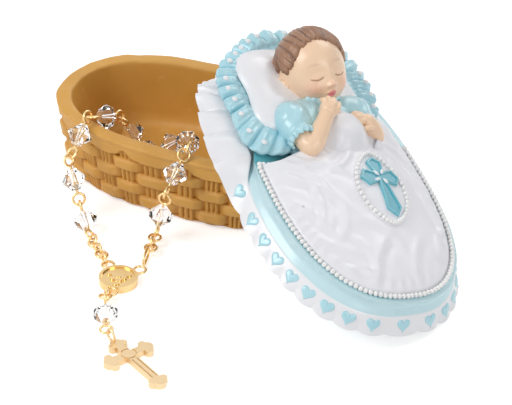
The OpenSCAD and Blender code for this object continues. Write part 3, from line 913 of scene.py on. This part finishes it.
ring_places = []
for k in range(RING_PEARLS):
    t = 2 * math.pi * k / RING_PEARLS
    x = 9.9 + 10.4 * math.cos(t)
    y = 4.6 + 6.9 * math.sin(t) * (1 - 0.32 * abs(math.cos(t)) ** 3) - 0.9 * math.cos(t)
    ring_places.append(seat_on_lid(x, y, quilt_surface(x, y, 9) + 0.28))
ring_pearls = pearl_row("ring_pearls", ring_places, RING_PEARL)
ring_pearls.data.materials.append(pearl_white)
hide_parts("cross_pearls")
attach(ring_pearls, "lid")

# The cross: a flat teal relief with flared, pointed arms, a sunk face inside a
# raised edge, and four small white slots beside its centre. Painted on the
# quilt's casting, with the sunk face painted a deeper teal as painted shade.
CROSS = (
    (1.5, -1.2), (6.5, -1.8), (9.2, -2.2), (11.6, 0), (9.2, 2.2), (6.5, 1.8), (1.5, 1.2), (2.1, 3.2),
    (2.3, 4.3), (0, 6.0), (-2.3, 4.3), (-2.0, 3.2), (-1.3, 1.3), (-3.4, 2.1), (-4.6, 2.2), (-6.0, 0),
    (-4.6, -2.2), (-3.4, -2.1), (-1.3, -1.3), (-2.0, -3.2), (-2.3, -4.3), (0, -6.0), (2.3, -4.3),
    (2.1, -3.2))
CROSS_ROOT, CROSS_TOP = -1.0, 0.65
CROSS_AT = (7.0, 5.3)
clear_selection()
bpy.ops.mesh.primitive_circle_add(vertices=len(CROSS), radius=1, fill_type="NGON", location=(0, 0, 0))
cross = bpy.context.object
cross.name = "quilt_cross"
for vertex, (x, y) in zip(cross.data.vertices, CROSS):
    vertex.co = Vector((x, y, CROSS_ROOT))
bpy.ops.object.mode_set(mode="EDIT")
bpy.ops.mesh.select_all(action="SELECT")
bpy.ops.mesh.extrude_region_move(TRANSFORM_OT_translate={"value": (0, 0, CROSS_TOP - CROSS_ROOT)})
bpy.ops.mesh.inset(thickness=0.14, depth=0.12)
bpy.ops.mesh.inset(thickness=0.34, depth=0.0)
bpy.ops.mesh.inset(thickness=0.14, depth=-0.34)
bpy.ops.mesh.select_all(action="DESELECT")
bpy.ops.mesh.select_non_manifold()
bpy.ops.mesh.edge_face_add()
bpy.ops.mesh.select_all(action="SELECT")
bpy.ops.mesh.normals_make_consistent(inside=False)
bpy.ops.object.mode_set(mode="OBJECT")
# Painted shade: marks the sunk face inside the raised edge so it takes a deeper teal.
sunk_face_shade = cross.data.attributes.new("sunk_face_shade", "FLOAT", "POINT")
top_level = max(vertex.co.z for vertex in cross.data.vertices)
for i, vertex in enumerate(cross.data.vertices):
    x, y, z = vertex.co
    sunk_face_shade.data[i].value = 1.0 if 0 < z < top_level - 0.2 and math.hypot(x, y) < 11 and z != 0.65 else 0.0
    vertex.co = seat_on_lid(CROSS_AT[0] + x, CROSS_AT[1] + y,
                            quilt_surface(CROSS_AT[0] + x, CROSS_AT[1] + y, 9) + z)
smooth(cross, 25)
cross.data.materials.append(resin(
    "teal_paint", (0.18, 0.52, 0.60), (0.13, 0.46, 0.55), 0.25, coat=0.4, scale=80, depth=0.05,
    washes=(("sunk_face_shade", (0.10, 0.42, 0.52)),)))
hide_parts("cross_badge")
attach(cross, "lid")

slots = []
for x, y, turn_slot in ((1.5, 0.75, 20), (1.0, -1.5, -80), (-1.3, 0.9, 150), (-0.9, -1.1, 215)):
    clear_selection()
    bpy.ops.mesh.primitive_uv_sphere_add(segments=16, ring_count=10, radius=1, location=(0, 0, 0))
    inlay = bpy.context.object
    x, y = CROSS_AT[0] + x, CROSS_AT[1] + y
    spot = seat_on_lid(x, y, quilt_surface(x, y, 9) + 0.62)
    inlay.data.transform(
        Matrix.Translation(spot) @ on_lid.to_3x3().to_4x4() @ Matrix.Rotation(math.radians(turn_slot), 4, "Z")
        @ Matrix.Diagonal((0.9, 0.42, 0.32, 1)) @ Matrix.Scale(MM, 4))
    slots.append(inlay)
cross_slots = join_up(slots, "cross_slots")
smooth(cross_slots, 180)
cross_slots.data.materials.append(quilt_white)
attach(cross_slots, "lid")

# The baby's shirt: a round blue body and two puffed sleeves, the near one closed
# by a scalloped lace cuff, and a scalloped collar. Cast and painted with the lid.
def clay(name, balls, voxel, rounds):
    lumps = []
    for centre, size in balls:
        clear_selection()
        bpy.ops.mesh.primitive_uv_sphere_add(segments=24, ring_count=14, radius=1, location=(0, 0, 0))
        ball = bpy.context.object
        ball.data.transform(Matrix.Translation(centre) @ Matrix.Diagonal((*size, 1)))
        lumps.append(ball)
    piece = join_up(lumps, name)
    skin_over = piece.modifiers.new("skin_over", "REMESH")
    skin_over.mode = "VOXEL"
    skin_over.voxel_size = voxel
    bpy.ops.object.modifier_apply(modifier="skin_over")
    rub_down = piece.modifiers.new("rub_down", "SMOOTH")
    rub_down.factor = 0.5
    rub_down.iterations = rounds
    bpy.ops.object.modifier_apply(modifier="rub_down")
    return piece


def limb_balls(points, count):
    balls = []
    for i in range(count):
        x, y, z, r = follow(points, i / (count - 1))
        balls.append(((x, y, z), (r, r, r)))
    return balls


def set_down(piece):
    piece.data.transform(on_lid @ Matrix.Scale(MM, 4))
    smooth(piece, 180)


def cuff(place, axis, radius, lobes):
    axis = Vector(axis).normalized()
    side = axis.cross(Vector((0, 0, 1))).normalized()
    over = side.cross(axis)
    balls = []
    for k in range(lobes):
        t = 2 * math.pi * k / lobes
        p = Vector(place) + (side * math.cos(t) + over * math.sin(t)) * radius
        balls.append((p, (0.72, 0.72, 0.72)))
        balls.append((p + axis * 0.75, (0.6, 0.6, 0.6)))
        between = t + math.pi / lobes
        p = Vector(place) - axis * 0.4 + (side * math.cos(between) + over * math.sin(between)) * radius
        balls.append((p, (0.6, 0.6, 0.6)))
    return balls


body_and_sleeves = [
    ((-12, -3.5, 8.6), (7.5, 11, 4.6)), ((-12.2, -10.6, 9.6), (5.6, 4.6, 4.4)),
    ((-10.4, -11.3, 9.8), (4.6, 3.9, 3.9)), ((-15.6, 8.6, 8.6), (4.2, 5.8, 3.4)),
    ((-13.6, 10.4, 8.8), (3.2, 3.6, 2.8))]
collar = []
for k in range(9):
    rise = math.sin(k * 0.42)
    collar.append(((-17.6 + 2.3 * rise, -4.4 + k * 1.15, 12.0 + 1.2 * rise), (0.8, 0.8, 0.6)))
shirt = clay("shirt", body_and_sleeves + cuff((-6.9, -11.0, 10.2), (1, 0.1, 0.1), 3.1, 12) + collar, 0.28, 3)
SHIRT_FOOT = 6.2
for vertex in shirt.data.vertices:
    x, y, z = vertex.co
    fold = math.sin((y + 0.8 * x) * 1.5) * math.exp(-((x + 12.5) / 3.5) ** 2 - ((y + 11) / 4) ** 2)
    fold += 0.6 * math.sin(y * 1.9 + x) * math.exp(-((x + 13) / 4) ** 2) * (1 if y > -6 else 0)
    vertex.co = vertex.co + Vector((0, 0, 0.22 * fold))
    vertex.co.z = max(vertex.co.z, SHIRT_FOOT)
set_down(shirt)
shirt.data.materials.append(blue)
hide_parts("shirt")
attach(shirt, "lid")

# The arms: the right one bent at the elbow with its fist under the chin, the
# left hand laid on the quilt's edge with four short fingers over it.
skin = resin("skin_paint", (0.91, 0.655, 0.455), (0.885, 0.62, 0.42), 0.36, coat=0.2, scale=30, depth=0.03,
             specks=(0.60, 0.40, 0.28))
FINGER_BALLS = 7


def fingers(rows):
    balls = []
    for row in rows:
        balls += limb_balls(row, FINGER_BALLS)
    return balls


upper_arm = limb_balls((
    (-7.6, -10.9, 10.2, 2.4), (-5.4, -10.2, 9.9, 2.5), (-3.8, -9.6, 10.0, 2.6), (-4.2, -8.6, 11.0, 2.5)), 8)
forearm = limb_balls((
    (-4.2, -8.6, 11.0, 2.5), (-6.6, -6.8, 12.7, 2.3), (-8.5, -5.3, 14.1, 2.0), (-9.5, -4.6, 14.7, 1.95)), 14)
fist = [((-10.7, -3.6, 15.3), (2.4, 2.3, 2.1)), ((-11.7, -2.8, 15.6), (2.0, 2.1, 1.8))]
right_fingers = fingers((
    ((-10.1, -1.7, 16.6, 0.74), (-11.5, -0.8, 16.3, 0.72), (-12.1, -0.8, 15.3, 0.68)),
    ((-11.0, -2.7, 17.0, 0.76), (-12.5, -1.9, 16.7, 0.74), (-13.2, -1.7, 15.7, 0.68)),
    ((-11.6, -3.8, 16.8, 0.74), (-13.2, -3.1, 16.5, 0.72), (-13.8, -2.8, 15.5, 0.66)),
    ((-11.8, -4.8, 16.2, 0.68), (-13.3, -4.3, 16.0, 0.64), (-13.9, -4.1, 15.2, 0.6)),
    ((-9.5, -2.7, 16.0, 0.82), (-10.1, -1.1, 15.2, 0.76), (-10.9, -0.3, 14.4, 0.64))))
right_arm = clay("right_arm", upper_arm + forearm + fist + right_fingers, 0.2, 2)
set_down(right_arm)
right_arm.data.materials.append(skin)
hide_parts("right_arm")
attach(right_arm, "lid")

wrist = limb_balls((
    (-9.3, 12.3, 9.0, 2.3), (-9.7, 11.6, 9.9, 2.3), (-10.4, 10.6, 10.8, 2.3), (-11.4, 9.4, 11.6, 2.2)), 12)
palm = [((-11.0, 9.4, 11.6), (2.2, 2.2, 1.6))]
left_fingers = fingers((
    ((-11.2, 8.6, 12.6, 0.75), (-10.6, 6.9, 12.9, 0.74), (-9.9, 5.8, 12.6, 0.66)),
    ((-12.2, 8.2, 12.7, 0.75), (-11.8, 6.4, 13.0, 0.74), (-11.2, 5.3, 12.7, 0.66)),
    ((-13.1, 8.2, 12.4, 0.72), (-13.0, 6.4, 12.7, 0.7), (-12.5, 5.3, 12.4, 0.62)),
    ((-13.8, 8.6, 12.0, 0.66), (-14.0, 6.9, 12.2, 0.64), (-13.6, 5.9, 12.0, 0.58)),
    ((-9.4, 10.0, 12.0, 0.8), (-8.8, 8.4, 12.5, 0.74), (-8.8, 7.2, 12.5, 0.62))))
left_arm = clay("left_arm", wrist + palm + left_fingers, 0.2, 2)
left_arm.data.transform(Matrix.Translation((1.9, -0.2, -0.3)))
set_down(left_arm)
left_arm.data.materials.append(skin)
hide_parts("left_arm")
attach(left_arm, "lid")

# The head: a sleeping newborn's round head with a high forehead, full cheeks, a
# small button nose and closed eyes, on the plain proportions of a child's
# head. Cast with the lid, then painted by hand.
FACE = Vector((0.60, -0.10, 0.79)).normalized()
CROWN = Vector((-0.84, -0.17, 0.52))
CROWN = (CROWN - FACE * CROWN.dot(FACE)).normalized()
CHEEK = CROWN.cross(FACE).normalized()
head_turn = Matrix((CHEEK, CROWN, FACE)).transposed()
HEAD_WIDE, HEAD_HIGH, HEAD_DEEP = 8.1, 9.7, 8.3
EYE_APART = 3.1


def dome(dx, dy, wide, high):
    return math.exp(-(dx / wide) ** 2 - (dy / high) ** 2)


def eye_line(x):
    s = abs(x)
    return -1.75 - 0.55 * (1 - ((s - EYE_APART) / 1.55) ** 2)


def head_shape(d, plain=False):
    x, y, z = d.x * HEAD_WIDE, d.y * HEAD_HIGH, d.z * HEAD_DEEP
    if y < 0:
        x *= 1 - 0.16 * (-y / HEAD_HIGH) ** 2
        z += 0.5 * (-y / HEAD_HIGH) * max(0, d.z)
    else:
        x *= 1 + 0.03 * y / HEAD_HIGH
        z *= 1 + 0.03 * y / HEAD_HIGH
    if plain or d.z < 0.05:
        return Vector((x, y, z))
    front = ease((d.z - 0.05) / 0.3)
    push = 0.0
    push += 0.45 * dome(x, y - 4.2, 5, 3.4)
    push -= 0.62 * (dome(x - EYE_APART, y + 1.3, 2.1, 1.5) + dome(x + EYE_APART, y + 1.3, 2.1, 1.5))
    push += 0.52 * (dome(x - EYE_APART, y + 1.75, 1.45, 0.95) + dome(x + EYE_APART, y + 1.75, 1.45, 0.95))
    push -= 0.34 * dome(0, y - eye_line(x), 1, 0.2) * ease((1.75 - abs(abs(x) - EYE_APART)) / 0.5)
    push += 0.85 * (dome(x - 4.4, y + 4.7, 2.5, 2.4) + dome(x + 4.4, y + 4.7, 2.5, 2.4))
    push += 0.45 * dome(x, y + 1.2, 0.9, 2.4)
    push += 1.35 * dome(x, y + 3.9, 1.0, 0.95) + 0.55 * (dome(x - 0.95, y + 4.2, 0.6, 0.6)
                                                         + dome(x + 0.95, y + 4.2, 0.6, 0.6))
    push -= 0.30 * (dome(x - 0.5, y + 4.75, 0.3, 0.25) + dome(x + 0.5, y + 4.75, 0.3, 0.25))
    push += 0.6 * dome(x, y + 6.1, 1.9, 1.3)
    push += 0.38 * dome(x, y + 5.85, 1.15, 0.34) + 0.42 * dome(x, y + 6.65, 0.9, 0.36)
    push -= 0.42 * dome(x, y + 6.25 - 0.04 * x * x, 1.35, 0.17)
    push -= 0.18 * dome(x, y + 5.25, 0.3, 0.5)
    push -= 0.35 * dome(x, y + 7.4, 1.5, 0.4)
    push += 0.75 * dome(x, y + 8.2, 1.9, 1.1)
    return Vector((x, y, z)) + Vector((0.25 * d.x, 0.1 * d.y, 1)).normalized() * push * front


def on_head(p):
    q = HEAD + head_turn @ p
    return seat_on_lid(q.x, q.y, q.z)


def lash(x, y, front):
    ends = ease((1.65 - abs(abs(x) - EYE_APART)) / 0.3)
    return 0.95 * dome(0, y - eye_line(x) + 0.03, 1, 0.24) ** 3 * ends if front > 0.2 else 0.0


def brow(x, y, front):
    arch = 0.12 * (abs(x) - 3.2) ** 2
    return 0.4 * dome(abs(x) - 3.2, y - 1.5 + arch, 1.5, 0.35) if front > 0.2 else 0.0


def lips(x, y, front):
    return ease((1 - ((x / 1.35) ** 2 + ((y + 6.22) / 0.82) ** 2)) / 0.45) if front > 0.2 else 0.0


def blush(x, y, front):
    cheek_and_nose = 0.75 * dome(abs(x) - 4.5, y + 4.7, 2.1, 1.9) + 0.4 * dome(x, y + 3.9, 0.9, 0.9)
    return cheek_and_nose if front > 0.1 else 0.0


clear_selection()
bpy.ops.mesh.primitive_uv_sphere_add(segments=300, ring_count=220, radius=1, location=(0, 0, 0))
head = bpy.context.object
head.name = "baby_head_cast"
features = []
for vertex in head.data.vertices:
    d = Vector((vertex.co.x, vertex.co.z, -vertex.co.y))
    p = head_shape(d.normalized())
    features.append((p.x, p.y, d.z))
    vertex.co = p
for mask, rule in (("lash", lash), ("brow", brow), ("lips", lips), ("blush", blush)):
    paint = head.data.attributes.new(mask, "FLOAT", "POINT")
    for i, feature in enumerate(features):
        paint.data[i].value = min(1.0, max(0.0, rule(*feature)))
ears = []
for hand in (-1, 1):
    clear_selection()
    bpy.ops.mesh.primitive_uv_sphere_add(segments=48, ring_count=32, radius=1, location=(0, 0, 0))
    ear = bpy.context.object
    for vertex in ear.data.vertices:
        u, v, w = vertex.co
        face = max(0.0, u)
        r = math.hypot(v / 0.98, w / 0.98)
        bowl = math.exp(-((r - 0.42) / 0.3) ** 2) * face
        rim = math.exp(-((r - 0.82) / 0.16) ** 2) * face
        rim *= 0.4 + 0.6 * ease((w + 0.9) / 0.6)
        tragus = math.exp(-((v + 0.55) / 0.25) ** 2 - ((w + 0.15) / 0.3) ** 2) * face
        vertex.co = Vector((u * 0.95 - 0.6 * bowl + 0.35 * rim + 0.25 * tragus,
                            w * 2.15 * (1 - 0.12 * v), v * 1.45 * (1 + 0.18 * w)))
    ear.data.transform(Matrix.Rotation(math.radians(-24), 4, "Y") @ Matrix.Scale(1.15, 4))
    ear.data.transform(Matrix.Translation((7.9, -1.8, -0.5)))
    if hand < 0:
        ear.data.transform(Matrix.Diagonal((-1, 1, 1, 1)))
        ear.data.flip_normals()
    ears.append(ear)
join_up([head] + ears, "baby_head_cast")
for vertex in head.data.vertices:
    vertex.co = on_head(vertex.co)
start_edit(head)
bpy.ops.mesh.normals_make_consistent(inside=False)
bpy.ops.object.mode_set(mode="OBJECT")
smooth(head, 180)
head.data.materials.append(resin(
    "face_paint", (0.91, 0.655, 0.455), (0.885, 0.62, 0.42), 0.36, coat=0.2, scale=30, depth=0.03,
    specks=(0.66, 0.42, 0.30), washes=(("blush", (0.86, 0.47, 0.34)), ("brow", (0.62, 0.40, 0.26)),
                                       ("lips", (0.74, 0.24, 0.24)), ("lash", (0.25, 0.11, 0.05)))))
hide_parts("baby_head")
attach(head, "lid")

# The hair: a short brown cap combed sideways from the crown, with a jagged
# fringe and a lock before the ear, modelled in fine strands and painted, with
# painted shade darkening the grooves between the strands.
WHORL = Vector((0.30, 0.80, -0.52)).normalized()
WHORL_SIDE = WHORL.cross(Vector((0, 0, 1))).normalized()
WHORL_UP = WHORL.cross(WHORL_SIDE)
HAIR_EDGE = tuple((drop,) for drop in (
    118, 116, 110, 98, 80, 74, 84, 72, 50, 42, 38, 41, 49, 60, 74, 86, 74, 80, 98, 110, 116, 118))


def hairline(d):
    turn = math.atan2(d.x, d.z)
    drop = math.degrees(math.acos(max(-1, min(1, d.y))))
    edge = follow(HAIR_EDGE, (math.degrees(turn) + 180) / 360)[0]
    tips = 3.2 * abs(math.sin(turn * 13 + 0.6 * math.sin(turn * 5))) + 2.0 * abs(math.sin(turn * 29 + 1))
    return (edge + tips - drop) / 5


def hair_strands(d):
    along = math.acos(max(-1, min(1, d.dot(WHORL))))
    turn = math.atan2(d.dot(WHORL_SIDE), d.dot(WHORL_UP)) + 0.7 * along
    strand = 0.0
    for count, height, shift in ((17, 0.5, 0.3), (41, 0.34, 1.7), (83, 0.22, 0.9)):
        strand += height * abs(math.sin(turn * count / 2 + shift + 1.4 * math.sin(along * 3 + turn * 3)))
    return strand


# Painted shade: darker where the strand relief dips, in the grooves between strands.
def strand_shade_paint(place):
    p = head_turn.transposed() @ (off_lid @ (place * MM) / MM - HEAD)
    d = Vector((p.x / HEAD_WIDE, p.y / HEAD_HIGH, p.z / HEAD_DEEP)).normalized()
    return 1.15 - 1.5 * hair_strands(d)


clear_selection()
bpy.ops.mesh.primitive_uv_sphere_add(segments=320, ring_count=220, radius=1, location=(0, 0, 0))
hair = bpy.context.object
hair.name = "combed_hair"
for vertex in hair.data.vertices:
    d = Vector((vertex.co.x, vertex.co.z, -vertex.co.y)).normalized()
    p = head_shape(d, plain=True)
    cover = hairline(d)
    thick = -0.7 + 1.15 * ease((cover + 0.35) / 0.7) + 0.55 * ease(cover / 6)
    thick += 0.42 * hair_strands(d) * ease(cover)
    vertex.co = on_head(p + Vector((d.x, d.y * 0.85, d.z)).normalized() * thick)
smooth(hair, 180)
paint_mask(hair, "strand_shade", strand_shade_paint)
# The dark brown wash in the strand grooves is painted shade.
hair.data.materials.append(resin(
    "hair_paint", (0.37, 0.19, 0.105), (0.29, 0.14, 0.075), 0.42, coat=0.2, scale=110, depth=0.25,
    scuffs=(0.46, 0.26, 0.15), washes=(("strand_shade", (0.12, 0.05, 0.025)),)))
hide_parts("baby_hair")
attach(hair, "lid")

# The rosary's metal: wire, rings, medal and crucifix are brass plated in pale
# gold and lightly burnished; the turned and bent parts come from the solids.
def plated(name, light, dark, rough, grain):
    finish = bpy.data.materials.new(name)
    finish.use_nodes = True
    n, l = finish.node_tree.nodes, finish.node_tree.links
    body = n["Principled BSDF"]
    body.inputs["Metallic"].default_value = 1.0
    cast = n.new("ShaderNodeGroup")
    cast.node_tree = cast_resin
    cast.inputs["Scale"].default_value = 260
    cast.inputs["Depth"].default_value = grain
    tone = n.new("ShaderNodeMix")
    tone.data_type = "RGBA"
    tone.inputs["A"].default_value = (*dark, 1)
    tone.inputs["B"].default_value = (*light, 1)
    l.new(cast.outputs["Mottle"], tone.inputs["Factor"])
    l.new(tone.outputs["Result"], body.inputs["Base Color"])
    gloss = n.new("ShaderNodeMapRange")
    gloss.inputs["To Min"].default_value = rough - 0.06
    gloss.inputs["To Max"].default_value = rough + 0.08
    l.new(cast.outputs["Mottle"], gloss.inputs["Value"])
    l.new(gloss.outputs[0], body.inputs["Roughness"])
    l.new(cast.outputs["Normal"], body.inputs["Normal"])
    return finish


gold = plated("gold_plate", (0.90, 0.68, 0.36), (0.80, 0.54, 0.24), 0.20, 0.05)
satin_gold = plated("satin_gold", (0.84, 0.66, 0.42), (0.76, 0.56, 0.32), 0.38, 0.25)


def finish_node(name, finish):
    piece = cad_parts[name]
    for place in piece.material_slots:
        place.material = finish


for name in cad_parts:
    if name.startswith("eye_pin") or name in ("left_links", "right_links", "scroll_link", "pendant_links",
                                              "pendant_pin", "medal", "medal_rose"):
        finish_node(name, gold)
finish_node("crucifix", satin_gold)

# The rosary's beads: cut crystal, clear with a faint warm and cool cast from
# facet to facet, each turning freely on its wire. The cut is in the solids.
crystal = bpy.data.materials.new("cut_crystal")
crystal.use_nodes = True
nodes, links = crystal.node_tree.nodes, crystal.node_tree.links
glass = nodes["Principled BSDF"]
glass.inputs["Transmission Weight"].default_value = 1.0
glass.inputs["IOR"].default_value = 1.55
place = nodes.new("ShaderNodeTexCoord")
cast_light = nodes.new("ShaderNodeTexNoise")
cast_light.inputs["Scale"].default_value = 170
links.new(place.outputs["Object"], cast_light.inputs["Vector"])
tint = nodes.new("ShaderNodeValToRGB")
tint.color_ramp.elements[0].position = 0.35
tint.color_ramp.elements[0].color = (1.0, 0.95, 0.95, 1)
tint.color_ramp.elements[1].position = 0.65
tint.color_ramp.elements[1].color = (0.96, 0.985, 1.0, 1)
links.new(cast_light.outputs["Fac"], tint.inputs["Fac"])
links.new(tint.outputs["Color"], glass.inputs["Base Color"])
polish = nodes.new("ShaderNodeMapRange")
polish.inputs["To Min"].default_value = 0.0
polish.inputs["To Max"].default_value = 0.03
links.new(cast_light.outputs["Fac"], polish.inputs["Value"])
links.new(polish.outputs[0], glass.inputs["Roughness"])
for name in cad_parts:
    if name.startswith("bead_") or name == "pendant_bead":
        finish_node(name, crystal)
